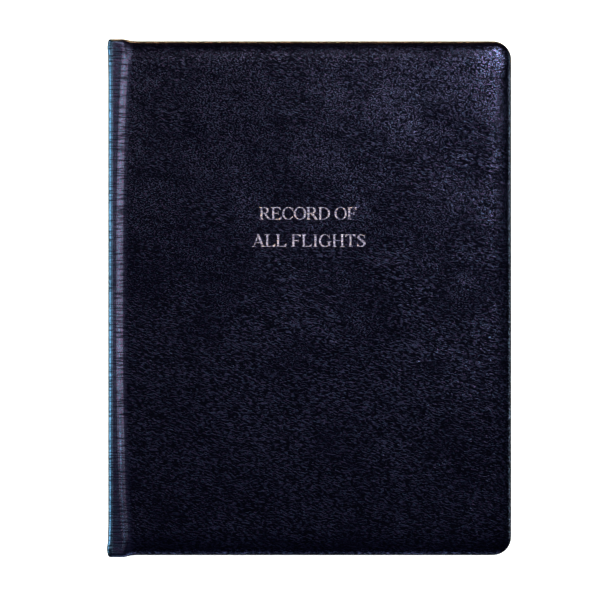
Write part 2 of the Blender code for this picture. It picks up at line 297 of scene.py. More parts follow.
# ---------------------------------------------------------------- mesh helpers
def new_object(name, verts, faces, material=None, smooth_shade=True):
    mesh = bpy.data.meshes.new(name)
    mesh.from_pydata([tuple(v) for v in verts], [], faces)
    mesh.validate()
    if smooth_shade:
        mesh.shade_smooth()
    if material is not None:
        mesh.materials.append(material)
    obj = bpy.data.objects.new(name, mesh)
    bpy.context.scene.collection.objects.link(obj)
    return obj


def set_attribute(obj, name, values):
    layer = obj.data.attributes.new(name, "FLOAT_VECTOR", "POINT")
    layer.data.foreach_set("vector", np.ascontiguousarray(values, np.float32).ravel())


def grid_faces(rows, columns, start=0, flip=False):
    """Quads over a rows-by-columns grid of vertices."""
    faces = []
    for r in range(rows - 1):
        for c in range(columns - 1):
            a = start + r * columns + c
            quad = (a, a + 1, a + columns + 1, a + columns)
            faces.append(quad[::-1] if flip else quad)
    return faces


# ---------------------------------------------------------------- padded covers
CORNER = 9.0
CORNER_GROWTH = 0.8  # how much the corner's radius grows for each mm further in
CROWN, SLOPE = 3.2, 12.5
PAD_POWER = 2.1
GROOVE_FLOOR = 24.65
PAD_START, PAD_SLOPE = 4.4, 3.7  # where the padding rises out of the groove, at mid-height
GROOVE_WIDER = 3.4  # how much further in it starts at the head and tail
SPINE_FACE = 0.35  # the leather's outer face, from the outside of the spine's box
SHOULDER, SHOULDER_HIGH = 2.7, 2.1  # width and height of the rounding between the spine's face and its top
SPINE_TOP = 24.6
END_DROP, END_SLOPE = 1.0, 1.3  # rounding of the spine's ends
SPINE_DEPTH = 2.0  # outside of the leather to the inside of its turned end
SKIN_THICK, TURN_THICK = 0.85, 0.35
DOME_DROP = 0.45  # the crown's edge lies this far below its middle
SHARP_ANGLE = 60  # degrees: the cut edges of the leather stay crisp


def simulate_dome():
    """Cloth run of the padded panel: its rim is pinned and the foam presses from beneath. Gives a height grid in mm."""
    columns, rows = 40, 52
    xs = np.linspace(6.0, FORE - 3.0, columns)
    ys = np.linspace(3.0 - EDGE_Y, EDGE_Y - 3.0, rows)
    x, y = np.meshgrid(xs, ys)
    top = np.stack([x, y, np.full_like(x, 3.0)], -1).reshape(-1, 3) * MM
    base = top * (1, 1, 0)
    count = rows * columns
    faces = grid_faces(rows, columns) + grid_faces(rows, columns, count, flip=True)
    rim = list(range(columns)) + [r * columns + columns - 1 for r in range(1, rows)]
    rim += [(rows - 1) * columns + c for c in range(columns - 2, -1, -1)]
    rim += [r * columns for r in range(rows - 2, 0, -1)]
    for a, b in zip(rim, rim[1:] + rim[:1]):
        faces.append((b, a, a + count, b + count))
    panel = new_object("panel_trial", np.concatenate([top, base]), faces)
    pins = panel.vertex_groups.new(name="pins")
    pins.add(list(range(count, 2 * count)) + rim, 1.0, "REPLACE")
    cloth = panel.modifiers.new("cloth", "CLOTH")
    cloth.settings.quality = 6
    cloth.settings.mass = 0.4
    cloth.settings.vertex_group_mass = "pins"
    cloth.settings.use_pressure = True
    cloth.settings.uniform_pressure_force = 4.0
    cloth.settings.tension_stiffness = 12
    cloth.settings.bending_stiffness = 6
    cloth.settings.effector_weights.gravity = 0
    cloth.point_cache.frame_start, cloth.point_cache.frame_end = 1, 20
    scene = bpy.context.scene
    for f in range(1, 21):
        scene.frame_set(f)
    graph = bpy.context.evaluated_depsgraph_get()
    result = panel.evaluated_get(graph).data
    heights = np.array([v.co.z for v in result.vertices[:count]]) / MM - 3.0
    bpy.data.objects.remove(panel)
    scene.frame_set(1)
    heights = heights.reshape(rows, columns)
    return xs, ys, heights / max(heights.max(), 1e-6)


DOME = simulate_dome()


def dome_height(x, y):
    """The simulated dome, 0 at the rim and 1 at its highest, by bilinear reading."""
    xs, ys, grid = DOME
    fx = np.clip((np.asarray(x, float) - xs[0]) / (xs[1] - xs[0]), 0, len(xs) - 1.001)
    fy = np.clip((np.asarray(y, float) - ys[0]) / (ys[1] - ys[0]), 0, len(ys) - 1.001)
    i, j = fx.astype(int), fy.astype(int)
    u, v = fx - i, fy - j
    low = grid[j, i] * (1 - u) + grid[j, i + 1] * u
    high = grid[j + 1, i] * (1 - u) + grid[j + 1, i + 1] * u
    return low * (1 - v) + high * v


def swell_height(x, y, side):
    """Slight unevenness of leather over foam, in mm."""
    shift = 0.0 if side == "front" else 2.1
    waves = ((0.043, 0.021, 0.5), (0.019, 0.052, 1.7), (0.083, 0.061, 2.9), (0.034, 0.097, 4.1), (0.110, 0.017, 5.3))
    total = np.zeros_like(np.asarray(x, float))
    for a, b, phase in waves:
        total = total + np.sin(a * x + b * y + phase + shift) * np.cos(b * x - a * y + 1.3 * phase)
    return 0.035 * total


def pad_profile(q):
    q = np.clip(q, 0, 1)
    return np.sqrt(np.maximum(1 - (1 - q) ** PAD_POWER, 0))


def edge_distance(x, y):
    """How far in from the cover's outline a point is, and the outward direction there.

    The outline's corners are rounded, and the lines of equal distance turn them wider the further in they are.
    """
    dx, dy = np.broadcast_arrays(FORE - np.asarray(x, float), EDGE_Y - np.abs(y))
    high = np.minimum(dx, dy)
    low = np.minimum(high, 0) - 2.0
    for _ in range(26):
        middle = (low + high) / 2
        radius = CORNER + CORNER_GROWTH * np.maximum(middle, 0)
        a, b = np.maximum(radius + middle - dx, 0), np.maximum(radius + middle - dy, 0)
        reach = np.hypot(a, b)
        low, high = np.where(reach > radius, low, middle), np.where(reach > radius, middle, high)
    reach = np.maximum(reach, 1e-9)
    return middle, a / reach, np.where(np.asarray(y) < 0, -1.0, 1.0) * b / reach


def groove_shift(c, y):
    """How far a column of the grid moves towards the fore edge, so that the groove widens at head and tail."""
    along = (np.abs(y) / EDGE_Y) ** 3
    return GROOVE_WIDER * along * smooth(2.6, PAD_START, c) * (1 - smooth(8, 26, c))


def top_height(x, y, c, side):
    """Height of the cover leather's outside, in mm; c is the unshifted column."""
    rise = smooth(PAD_START, PAD_START + PAD_SLOPE, c)
    floor = SPINE_TOP - (SPINE_TOP - GROOVE_FLOOR) * smooth(SPINE_FACE + SHOULDER, PAD_START, c)
    d, _, _ = edge_distance(x, y)
    f = pad_profile(np.maximum(d, 0) / mix(END_SLOPE, SLOPE, smooth(3, 9, c)))
    drop = mix(END_DROP, CROWN, rise) * (1 - f)
    soft = rise * f
    lift = -DOME_DROP + (DOME_DROP + 0.15) * dome_height(x, y) + swell_height(x, y, side)
    return floor + (THICK - floor) * rise - drop + lift * soft * soft, drop


def spine_bulge(y):
    """How far the turned ends of the spine swell outwards, and the step where the turned-in leather ends, in mm."""
    end = SPINE_Y - np.abs(y)
    tail = np.where(y < 0, 1.0, 0.55)
    return tail * 0.62 * np.exp(-(((end - 4.2) / 2.4) ** 2)) + 0.12 * smooth(16.5, 14.0, end)


def end_reach(c):
    """How far the leather runs past the boards at head and tail: full at the spine, none on the cover."""
    return (SPINE_Y - EDGE_Y) * (1 - smooth(4.0, 10.0, c))


def leather_rows():
    from_edge = edge_spacing(EDGE_Y, SLOPE, 12, 2.6)
    low = from_edge - EDGE_Y
    return np.concatenate([low, -low[-2::-1]])


def leather_columns():
    groove = list(np.linspace(SPINE_FACE + SHOULDER, PAD_START, 7)[1:-1])
    pad = list(np.linspace(PAD_START, PAD_START + PAD_SLOPE, 12))
    fore = FORE - edge_spacing(60, SLOPE, 12, 2.6)[::-1]
    middle = spaced(pad[-1], fore[0], 2.6)[1:-1]
    return np.concatenate([groove, pad, middle, fore])


def leather_half(side, material):
    """Leather from the middle of the spine over the groove and the cover, and round the board's edges to its inside."""
    rows = leather_rows()
    n_rows = len(rows)
    straight = spaced(MIDDLE, SPINE_TOP - SHOULDER_HIGH, 1.1)
    turns = np.linspace(0, math.pi / 2, 11)[1:]
    # Spine strip: position, inward normal and length along the skin for each column.
    spine = [(SPINE_FACE, z, 1.0, 0.0, z - MIDDLE) for z in straight]
    for a in turns:
        x, z = SPINE_FACE + SHOULDER * (1 - math.cos(a)), SPINE_TOP - SHOULDER_HIGH * (1 - math.sin(a))
        normal = Vector((SHOULDER_HIGH * math.cos(a), -SHOULDER * math.sin(a))).normalized()
        travelled = spine[-1][4] + math.hypot(x - spine[-1][0], z - spine[-1][1])
        spine.append((x, z, *normal, travelled))
    spine = np.array(spine)
    columns = leather_columns()
    n_spine, n_cover = len(spine), len(columns)
    n_columns = n_spine + n_cover
    length = spine[-1, 4]

    points = np.zeros((n_columns, n_rows, 3))
    skin = np.zeros_like(points)
    plain = np.zeros_like(points)
    inward = np.zeros_like(points)
    sign = np.sign(rows)
    past = smooth(EDGE_Y - 30, EDGE_Y, np.abs(rows))
    for i, (x, z, nx, nz, s) in enumerate(spine):
        y = rows + sign * (SPINE_Y - EDGE_Y) * past
        drop = END_DROP * (1 - pad_profile((SPINE_Y - np.abs(y)) / END_SLOPE))
        out = spine_bulge(y) * (1 - smooth(0.5, 2.0, x)) - drop
        points[i] = np.stack([x - nx * out, y, z - nz * out], -1)
        skin[i] = np.stack([np.full(n_rows, s), y + sign * drop, 0 * y], -1)
        inward[i] = (nx, 0, nz)
        plain[i] = (0.35, 1.0, 0.0)
    for k, c in enumerate(columns):
        i = n_spine + k
        x = c + groove_shift(c, rows)
        y = rows + sign * end_reach(c) * past
        x, y = rounded_corner(x, y, FORE, EDGE_Y, CORNER)
        inside_y = np.clip(y, -EDGE_Y, EDGE_Y) if end_reach(c) == 0 else rows
        z, drop = top_height(x, inside_y, c, side)
        d, ox, oy = edge_distance(x, inside_y)
        points[i] = np.stack([x, y, z], -1)
        skin[i] = np.stack([length + c - SPINE_FACE - SHOULDER + ox * drop, y + oy * drop, 0 * y], -1)
        inward[i] = (0, 0, -1)
        plain[i, :, 0] = np.maximum(smooth(11.0, 4.0, d), smooth(9.5, 6.0, c))
        plain[i, :, 1] = smooth(10.0, 7.5, c)

    border = [(i, 0) for i in range(n_columns)]
    border += [(n_columns - 1, j) for j in range(1, n_rows)]
    border += [(i, n_rows - 1) for i in range(n_columns - 2, -1, -1)]
    bi = np.array([b[0] for b in border])
    bj = np.array([b[1] for b in border])
    base, base_skin, normal = points[bi, bj], skin[bi, bj], inward[bi, bj]
    column = np.where(bi < n_spine, 0.0, columns[np.maximum(bi - n_spine, 0)])
    cover_share = smooth(3.0, 8.0, column)
    _, ox, oy = edge_distance(base[:, 0], np.clip(base[:, 1], -EDGE_Y, EDGE_Y))
    straight_end = column < 60
    out = np.stack([np.where(straight_end, 0, ox), np.where(straight_end, np.sign(base[:, 1]), oy), 0 * ox], -1)
    wall = mix(SPINE_DEPTH - END_DROP, INSIDE_DEPTH - CROWN, cover_share)
    cover_ring = ((0.15, 0.05), (0.40, 0.07), (0.68, 0.02), (0.86, -0.14), (0.96, -0.42), (1, -0.85), (1, -1.9))
    cover_ring += ((1, -3.4), (1, -5.5), (1, -8.0))
    spine_ring = ((0.26, -0.03), (0.50, -0.13), (0.71, -0.29), (0.87, -0.50), (0.97, -0.74), (1, -1.1), (1, -2.2))
    spine_ring += ((1, -4.5), (1, -8.5), (1, -13.0))
    rings, ring_skins, ring_thick = [], [], []
    travelled = np.zeros(len(border))
    previous = base
    for k, ((cf, co), (sf, so)) in enumerate(zip(cover_ring, spine_ring)):
        down = wall * mix(sf, cf, cover_share)
        over = mix(so, co, cover_share)
        here = base + out * over[:, None] + normal * down[:, None]
        travelled = travelled + np.linalg.norm(here - previous, axis=1)
        rings.append(here)
        ring_skins.append(base_skin + out * travelled[:, None])
        ring_thick.append(np.full(len(border), mix(0.55, TURN_THICK, min(1, k / 6))))
        previous = here

    outer = np.concatenate([points.reshape(-1, 3)] + rings)
    skins = np.concatenate([skin.reshape(-1, 3)] + ring_skins)
    plains = np.concatenate([plain.reshape(-1, 3), np.full((len(border) * len(rings), 3), 0.8)])
    edge_thin = np.zeros((n_columns, n_rows))
    edge_thin[:, 0] = edge_thin[:, -1] = edge_thin[-1, :] = 1
    thick = np.concatenate([mix(SKIN_THICK, 0.6, edge_thin).ravel()] + ring_thick)

    def index(i, j):
        return i * n_rows + j

    faces = grid_faces(n_columns, n_rows)
    chain = [index(i, j) for i, j in border]
    first = n_columns * n_rows
    seams = [chain] + [list(range(first + k * len(border), first + (k + 1) * len(border))) for k in range(len(rings))]
    for upper, lower in zip(seams, seams[1:]):
        for a, b, c, d in zip(upper, upper[1:], lower[1:], lower):
            faces.append((a, b, c, d))
    verts = world(outer, side)
    if side == "front":
        faces = [f[::-1] for f in faces]
    # The inner face of the skin, along the outer face's normals.
    trial = bpy.data.meshes.new("trial")
    trial.from_pydata([tuple(v) for v in verts], [], faces)
    normals = np.zeros(len(verts) * 3)
    trial.vertices.foreach_get("normal", normals)
    normals = normals.reshape(-1, 3)
    middle = normals[index(n_columns // 2, n_rows // 2)]
    if (middle[2] > 0) != (side == "front"):
        faces = [f[::-1] for f in faces]
        normals = -normals
    bpy.data.meshes.remove(trial)
    count = len(verts)
    inner = verts - normals * (thick * MM)[:, None]
    faces += [tuple(v + count for v in f[::-1]) for f in faces]
    used = {}
    for f in faces[: len(faces) // 2]:
        for a, b in zip(f, f[1:] + f[:1]):
            used[(a, b)] = True
    for a, b in list(used):
        if (b, a) not in used:
            faces.append((b, a, a + count, b + count))
    obj = new_object(f"{side}_cover_leather", np.concatenate([verts, inner]), faces, material)
    obj.data.set_sharp_from_angle(angle=math.radians(SHARP_ANGLE))
    set_attribute(obj, "skin", np.concatenate([skins, skins]))
    set_attribute(obj, "plain", np.concatenate([plains, plains]))
    return obj


# ---------------------------------------------------------------- foil title
CAP = 6.05  # height of the capitals, mm
STEM, THIN, SERIF = 0.150, 0.052, 0.036  # stroke widths, as shares of the capital height
CELL = 0.02
FOIL_PROUD, FOIL_SUNK = 0.035, 0.03  # its top and underside, from the leather's surface, mm


def shape_box(p, x0, x1, y0, y1):
    return np.maximum.reduce([x0 - p[0], p[0] - x1, y0 - p[1], p[1] - y1])


def shape_oval(p, cx, cy, rx, ry):
    return (np.hypot((p[0] - cx) / rx, (p[1] - cy) / ry) - 1) * min(rx, ry)


def shape_hull(p, *corners):
    """A convex outline, its corners listed anticlockwise."""
    sides = []
    for (x0, y0), (x1, y1) in zip(corners, corners[1:] + corners[:1]):
        run = math.hypot(x1 - x0, y1 - y0)
        sides.append(((p[0] - x0) * (y1 - y0) - (p[1] - y0) * (x1 - x0)) / run)
    return np.maximum.reduce(sides)


def shape_bar(p, x0, y0, x1, y1, width):
    """A slanted stroke, cut level at its two ends."""
    run = math.hypot(x1 - x0, y1 - y0)
    across = np.abs((p[0] - x0) * (y1 - y0) - (p[1] - y0) * (x1 - x0)) / run - width / 2
    low, high = min(y0, y1), max(y0, y1)
    return np.maximum.reduce([across, low - p[1], p[1] - high])


def shape_stroke(p, points):
    """A stroke through (x, y, half width) points, smoothed."""
    pts = np.array(points, float)
    ends = np.concatenate([[2 * pts[0] - pts[1]], pts, [2 * pts[-1] - pts[-2]]])
    path = []
    for k in range(1, len(ends) - 2):
        for t in np.linspace(0, 1, 8, endpoint=False):
            a, b, c, d = ends[k - 1 : k + 3]
            path.append(0.5 * (2 * b + (c - a) * t + (2 * a - 5 * b + 4 * c - d) * t**2 + (3 * b - a - 3 * c + d) * t**3))
    path.append(pts[-1])
    found = np.full_like(p[0], 9.0)
    for a, b in zip(path, path[1:]):
        dx, dy = b[0] - a[0], b[1] - a[1]
        t = np.clip(((p[0] - a[0]) * dx + (p[1] - a[1]) * dy) / max(dx * dx + dy * dy, 1e-9), 0, 1)
        gap = np.hypot(p[0] - a[0] - t * dx, p[1] - a[1] - t * dy)
        found = np.minimum(found, gap - (a[2] + (b[2] - a[2]) * t))
    return found


def soft_union(a, b, reach=0.07):
    h = np.clip(0.5 + 0.5 * (b - a) / reach, 0, 1)
    return b * (1 - h) + a * h - reach * h * (1 - h)


def union(*shapes):
    return np.minimum.reduce(shapes)


def stem(p, x, foot=True, head=True):
    """An upright with bracketed serifs."""
    found = shape_box(p, x, x + STEM, 0, 1)
    over = 0.105
    if foot:
        found = soft_union(found, shape_box(p, x - over, x + STEM + over, 0, SERIF))
    if head:
        found = soft_union(found, shape_box(p, x - over, x + STEM + over, 1 - SERIF, 1))
    return np.maximum(found, np.maximum(-p[1], p[1] - 1))


def arm(p, x0, x1, top):
    """A thin horizontal arm with a wedge at its free end, along the top or the foot."""
    if top:
        return union(
            shape_box(p, x0, x1, 1 - THIN, 1), shape_hull(p, (x1 - 0.24, 1.0), (x1 + 0.01, 0.76), (x1, 1.0))
        )
    return union(shape_box(p, x0, x1, 0, THIN), shape_hull(p, (x1 - 0.27, 0.0), (x1, 0.0), (x1 + 0.04, 0.27)))


def bowl(p, x0, cx, cy, rx, ry, thick):
    """A D-shaped bowl hung on a stem."""
    outer = union(shape_box(p, x0, cx, cy - ry, cy + ry), shape_oval(p, cx, cy, rx, ry))
    outer = np.maximum(outer, x0 - p[0])
    inside = np.maximum(shape_oval(p, cx, cy, rx - thick, ry - THIN), cx - p[0] - 0.001)
    inside = union(inside, shape_box(p, x0, cx, cy - ry + THIN, cy + ry - THIN))
    return np.maximum(outer, -inside)


def open_round(p, cx):
    """The round stroke of C and G, open on the right."""
    ring = np.maximum(shape_oval(p, cx, 0.5, 0.47, 0.515), -shape_oval(p, cx + 0.035, 0.5, 0.355, 0.465))
    mouth = shape_hull(p, (cx + 0.18, 0.5), (cx + 0.46, 0.16), (cx + 0.9, 0.16), (cx + 0.9, 0.82), (cx + 0.44, 0.82))
    return np.maximum(ring, -mouth)


def glyph_R(p):
    leg = shape_bar(p, 0.46, 0.53, 0.86, 0.0, 0.165)
    return union(
        stem(p, 0.13), bowl(p, 0.2, 0.47, 0.745, 0.325, 0.255, 0.145), leg, shape_box(p, 0.76, 1.03, 0, SERIF)
    )


def glyph_E(p):
    middle = union(shape_box(p, 0.2, 0.62, 0.485, 0.485 + THIN), shape_box(p, 0.60, 0.635, 0.37, 0.65))
    return union(stem(p, 0.13), arm(p, 0.2, 0.80, True), arm(p, 0.2, 0.85, False), middle)


def glyph_F(p):
    middle = union(shape_box(p, 0.2, 0.60, 0.475, 0.475 + THIN), shape_box(p, 0.58, 0.615, 0.36, 0.64))
    return union(stem(p, 0.13), arm(p, 0.2, 0.79, True), middle)


def glyph_L(p):
    return union(stem(p, 0.13), arm(p, 0.2, 0.84, False))


def glyph_I(p):
    return stem(p, 0.176)


def glyph_H(p):
    return union(stem(p, 0.15), stem(p, 0.79), shape_box(p, 0.2, 0.85, 0.475, 0.475 + THIN))


def glyph_T(p):
    left = shape_hull(p, (0.045, 0.76), (0.29, 1.0), (0.055, 1.0))
    return union(stem(p, 0.386, head=False), arm(p, 0.3, 0.87, True), left, shape_box(p, 0.055, 0.5, 1 - THIN, 1))


def glyph_D(p):
    return union(stem(p, 0.13), bowl(p, 0.2, 0.46, 0.5, 0.55, 0.5, 0.155))


def glyph_O(p):
    return np.maximum(shape_oval(p, 0.545, 0.5, 0.50, 0.515), -shape_oval(p, 0.545, 0.5, 0.342, 0.468))


def glyph_C(p):
    return union(open_round(p, 0.53), shape_box(p, 0.895, 0.935, 0.67, 0.97))


def glyph_G(p):
    upright = soft_union(shape_box(p, 0.80, 0.95, 0.06, 0.43), shape_box(p, 0.68, 1.05, 0.43 - SERIF, 0.43))
    return union(open_round(p, 0.53), upright, shape_box(p, 0.885, 0.925, 0.67, 0.97))


def glyph_A(p):
    thin, thick = shape_bar(p, 0.16, 0.0, 0.545, 1.0, 0.062), shape_bar(p, 0.90, 0.0, 0.50, 1.02, 0.165)
    feet = union(shape_box(p, 0.02, 0.34, 0, SERIF), shape_box(p, 0.71, 1.08, 0, SERIF))
    return union(thin, thick, shape_box(p, 0.27, 0.78, 0.31, 0.31 + THIN), feet)


def glyph_S(p):
    thin, bold = 0.032, 0.082
    curve = [(0.69, 0.78, thin), (0.60, 0.92, thin), (0.42, 0.975, thin), (0.235, 0.90, 0.055), (0.205, 0.74, bold)]
    curve += [(0.36, 0.585, bold), (0.56, 0.44, bold), (0.685, 0.27, bold), (0.61, 0.09, 0.055)]
    curve += [(0.42, 0.028, thin), (0.22, 0.08, thin), (0.125, 0.25, thin)]
    ticks = union(shape_box(p, 0.675, 0.715, 0.70, 0.99), shape_box(p, 0.10, 0.14, 0.01, 0.32))
    return union(shape_stroke(p, curve), ticks)


GLYPHS = {
    "R": (glyph_R, 1.01),
    "E": (glyph_E, 0.94),
    "C": (glyph_C, 1.01),
    "O": (glyph_O, 1.09),
    "D": (glyph_D, 1.08),
    "F": (glyph_F, 0.86),
    "A": (glyph_A, 1.06),
    "L": (glyph_L, 0.91),
    "I": (glyph_I, 0.50),
    "G": (glyph_G, 1.09),
    "H": (glyph_H, 1.09),
    "T": (glyph_T, 0.93),
    "S": (glyph_S, 0.82),
    " ": (None, 0.36),
}


def contour_cells(field, x0, y0):
    """Polygons covering the part of a grid where the field is negative, its edges placed by interpolation."""
    verts, faces, known = [], [], {}

    def vertex(key, x, y):
        if key not in known:
            known[key] = len(verts)
            verts.append((x0 + x * CELL, y0 + y * CELL))
        return known[key]

    inside = field < 0
    rows, columns = field.shape
    touched = inside[:-1, :-1] | inside[1:, :-1] | inside[:-1, 1:] | inside[1:, 1:]
    for j, i in zip(*np.nonzero(touched)):
        ring = ((i, j), (i + 1, j), (i + 1, j + 1), (i, j + 1))
        face = []
        for (ax, ay), (bx, by) in zip(ring, ring[1:] + ring[:1]):
            fa, fb = field[ay, ax], field[by, bx]
            if fa < 0:
                face.append(vertex((ax, ay), ax, ay))
            if (fa < 0) != (fb < 0):
                t = fa / (fa - fb)
                face.append(vertex(tuple(sorted(((ax, ay), (bx, by)))), ax + t * (bx - ax), ay + t * (by - ay)))
        if len(face) >= 3:
            faces.append(face)
    return verts, faces


def foil_line(name, text, centre_x, baseline, spacing, material):
    """A line of foil capitals lying on the front cover's leather."""
    widths = [GLYPHS[ch][1] + spacing for ch in text]
    start = -(sum(widths) - spacing) / 2
    points, faces = [], []
    for ch, width in zip(text, widths):
        draw = GLYPHS[ch][0]
        if draw is not None:
            xs = np.arange(-0.06, GLYPHS[ch][1] + 0.08, CELL)
            ys = np.arange(-0.06, 1.08, CELL)
            field = draw(np.meshgrid(xs, ys))
            made, cells = contour_cells(field, xs[0] + start, ys[0])
            faces += [[v + len(points) for v in f] for f in cells]
            points += made
        start += width
    flat = np.array(points) * CAP
    x, y = flat[:, 0] + centre_x, flat[:, 1] + baseline
    z = top_height(x, y, x, "front")[0]
    count = len(x)
    top = np.stack([x, y, z + FOIL_PROUD], -1)
    under = np.stack([x, y, z - FOIL_SUNK], -1)
    solid = list(faces) + [[v + count for v in f[::-1]] for f in faces]
    sides = {(a, b) for f in faces for a, b in zip(f, f[1:] + f[:1])}
    solid += [(b, a, a + count, b + count) for a, b in sides if (b, a) not in sides]
    obj = new_object(name, world(np.concatenate([top, under])), solid, material, smooth_shade=False)
    skin = np.stack([skin_length() + x - SPINE_FACE - SHOULDER, y, 0 * x], -1)
    set_attribute(obj, "skin", np.concatenate([skin, skin]))
    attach(obj, "front_cover")
    return obj


def skin_length():
    """Length along the skin from the middle of the spine to the top of its shoulder."""
    return SPINE_TOP - SHOULDER_HIGH - MIDDLE + (SHOULDER + SHOULDER_HIGH) / 2 * math.pi / 2


# ---------------------------------------------------------------- paper
LEAF_COLUMNS = np.concatenate([[0, 0.12, 0.25, 0.45, 0.8, 1.3, 2, 3, 4, 5, 6, 7, 8, 9, 10, 12, 15, 20], spaced(28, 999, 12)])


def paper_block(name, x0, x1, half, z0, z1, materials, columns, fold=0.0, seed=0.0, slant=0.0, corner=0.0):
    """A closed sheet or pressed section. Its fold is rounded, its faces are paper and its trimmed edges are gilt."""
    fore = (x1 - x0) - np.linspace(corner, 0, 6 if corner else 1)
    offsets = np.concatenate([[c for c in columns if c < fore[0] - 4], fore])
    near = half - np.linspace(corner or 1.5, 0, 6 if corner else 2)
    ys = np.concatenate([-near[::-1], spaced(6 - half, half - 6, 14), near])
    middle, thick = (z0 + z1) / 2, (z1 - z0) / 2
    h = np.full(len(offsets), thick)
    if fold:
        h = thick * np.maximum(pad_profile(offsets / fold), 0.08)
    x = x0 + offsets
    top, under = [], []
    for y in ys:
        jog = slant * math.sin(0.05 * y + seed)
        bent_x, bent_y = x + np.where(offsets == offsets[-1], jog, 0), np.full_like(x, y)
        if corner:
            bent_x, bent_y = rounded_corner(bent_x, bent_y, x1, half, corner)
        top.append(np.stack([bent_x, bent_y, middle + h], -1))
        under.append(np.stack([bent_x, bent_y, middle - h], -1))
    top, under = np.array(top), np.array(under)
    rows, cols = top.shape[:2]
    count = rows * cols
    verts = np.concatenate([top.reshape(-1, 3), under.reshape(-1, 3)])
    faces = grid_faces(rows, cols) + grid_faces(rows, cols, count, flip=True)
    paper = len(faces)
    for c in range(cols - 1):
        faces.append((c + 1, c, c + count, c + 1 + count))
        a = (rows - 1) * cols + c
        faces.append((a, a + 1, a + 1 + count, a + count))
    for r in range(rows - 1):
        a, b = r * cols + cols - 1, (r + 1) * cols + cols - 1
        faces.append((b, a, a + count, b + count)[::-1])
    edges = len(faces)
    for r in range(rows - 1):
        a, b = r * cols, (r + 1) * cols
        faces.append((a, b, b + count, a + count)[::-1])
    obj = new_object(name, world(verts), faces, materials[0], smooth_shade=False)
    obj.data.materials.append(materials[1])
    index = np.zeros(len(faces), np.int32)
    index[paper:edges] = 1
    obj.data.polygons.foreach_set("material_index", index)
    obj.data.polygons.foreach_set("use_smooth", np.arange(len(faces)) < paper)
    bm = bmesh.new()
    bm.from_mesh(obj.data)
    bmesh.ops.recalc_face_normals(bm, faces=bm.faces)
    bm.to_mesh(obj.data)
    bm.free()
    page = verts - (x0, 0, 0)
    set_attribute(obj, "page", page)
    return obj


def paper_material():
    """Ledger paper, ruled with a plain table: no lettering."""
    n = Nodes("ruled_paper")
    page = n.attribute("page")
    x, y = n.separate(page, "X"), n.separate(page, "Y")
    fibre = n.noise(n.stretch(page, (1.0, 1.6, 1.0)), 3.0, 4.0, 0.6)
    tone = n.noise(page, 0.03, 2.0)
    colour = n.blend(tone, (0.80, 0.755, 0.635), (0.86, 0.82, 0.72))
    colour = n.blend(n.ramp(fibre, 0.35, 0.65, 0.0, 0.25), colour, (0.70, 0.65, 0.54))
    row = n.math("MULTIPLY", n.math("ABSOLUTE", n.math("SUBTRACT", n.math("FRACT", n.math("DIVIDE", n.math("ADD", y, 350.0), 7.0)), 0.5)), 7.0)
    rows = n.ramp(row, 0.10, 0.24, 1.0, 0.0)
    columns = None
    for at in (16.0, 36.0, 60.0, 84.0, 101.0, 118.0, 135.0, 152.0, 181.0):
        line = n.ramp(n.math("ABSOLUTE", n.math("SUBTRACT", x, at)), 0.12, 0.26, 1.0, 0.0)
        columns = line if columns is None else n.math("MAXIMUM", columns, line)
    head = None
    for at in (108.5, 107.3, 94.5, -108.5):
        line = n.ramp(n.math("ABSOLUTE", n.math("SUBTRACT", y, at)), 0.15, 0.32, 1.0, 0.0)
        head = line if head is None else n.math("MAXIMUM", head, line)
    across = n.math("MULTIPLY", n.ramp(x, 15.8, 16.0), n.ramp(x, 181.2, 181.0))
    up = n.math("MULTIPLY", n.ramp(y, -108.8, -108.6), n.ramp(y, 108.8, 108.6))
    body = n.ramp(y, 94.6, 94.4)
    ink = n.math("MULTIPLY", n.math("MULTIPLY", rows, body), 0.55)
    ink = n.math("MAXIMUM", ink, n.math("MULTIPLY", columns, 0.8))
    ink = n.math("MAXIMUM", ink, head)
    ink = n.math("MULTIPLY", ink, n.math("MULTIPLY", across, up))
    tint = n.math("MULTIPLY", n.math("MULTIPLY", n.ramp(y, 94.4, 94.6), across), n.math("MULTIPLY", up, 0.28))
    colour = n.blend(tint, colour, (0.44, 0.52, 0.56))
    colour = n.blend(n.math("MULTIPLY", ink, 0.85), colour, (0.13, 0.20, 0.30))
    # Painted shade: the paper is coloured darker brown towards the fold, where the leaves meet.
    gutter_shade = n.ramp(x, 0.0, 14.0, 0.45, 0.0)
    colour = n.blend(gutter_shade, colour, (0.36, 0.31, 0.23))
    return n.finish(colour, 0.78, n.bump(fibre, 0.02 * MM, 0.5), Specular_IOR_Level=0.3)


def gilt_material():
    """Gold leaf on the trimmed edges of the leaves, which show as fine lines."""
    n = Nodes("gilt_edge")
    page = n.attribute("page")
    layers = n.noise(n.stretch(page, (0.04, 0.04, 9.0)), 1.0, 2.0, 0.7)
    wear = n.noise(n.stretch(page, (0.25, 0.25, 3.0)), 0.8, 3.0, 0.6)
    colour = n.blend(n.ramp(layers, 0.35, 0.65), (0.50, 0.33, 0.11), (0.86, 0.64, 0.30))
    colour = n.blend(n.ramp(wear, 0.62, 0.75, 0.0, 0.35), colour, (0.62, 0.54, 0.40))
    normal = n.bump(layers, 0.06 * MM, 0.8)
    return n.finish(colour, n.ramp(wear, 0.3, 0.7, 0.26, 0.42), normal, Metallic=0.6)


